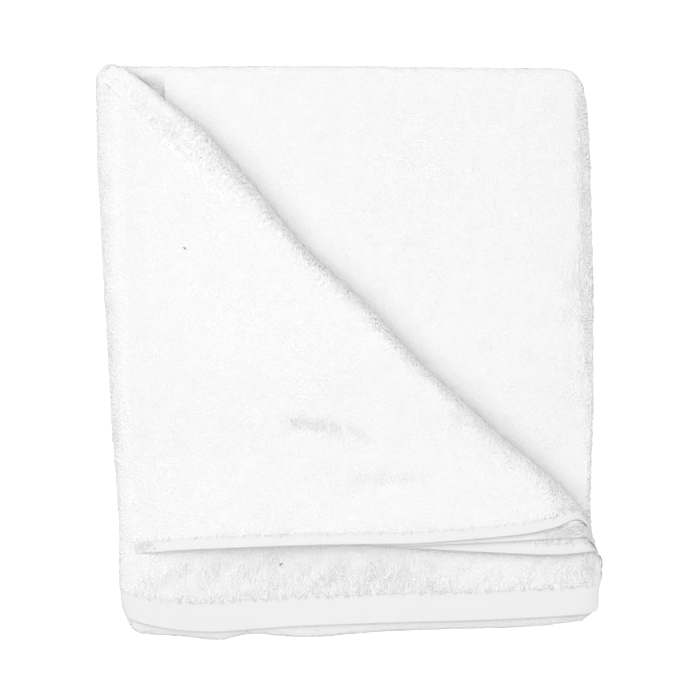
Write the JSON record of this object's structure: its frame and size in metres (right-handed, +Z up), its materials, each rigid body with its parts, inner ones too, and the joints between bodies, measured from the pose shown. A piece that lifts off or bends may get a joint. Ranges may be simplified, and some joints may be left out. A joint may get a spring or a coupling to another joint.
{
  "type": "folded bath towel",
  "caption": "White terry bath towel folded into a flat stack, one corner of its upper layers turned over on the diagonal.",
  "frame": {"origin": "centre of the folded towel's footprint, on the surface that it lies on", "axes": "+Z up, +Y towards the back fold, +X towards the side hems; the towel's left edge is its lengthwise fold"},
  "size_m": [0.3639, 0.4098, 0.0445],
  "materials": {
    "terry": "white looped cotton terry, matt, with flat woven hems"
  },
  "bodies": {
    "root": {"towel": "terry"}
  },
  "joints": []
}
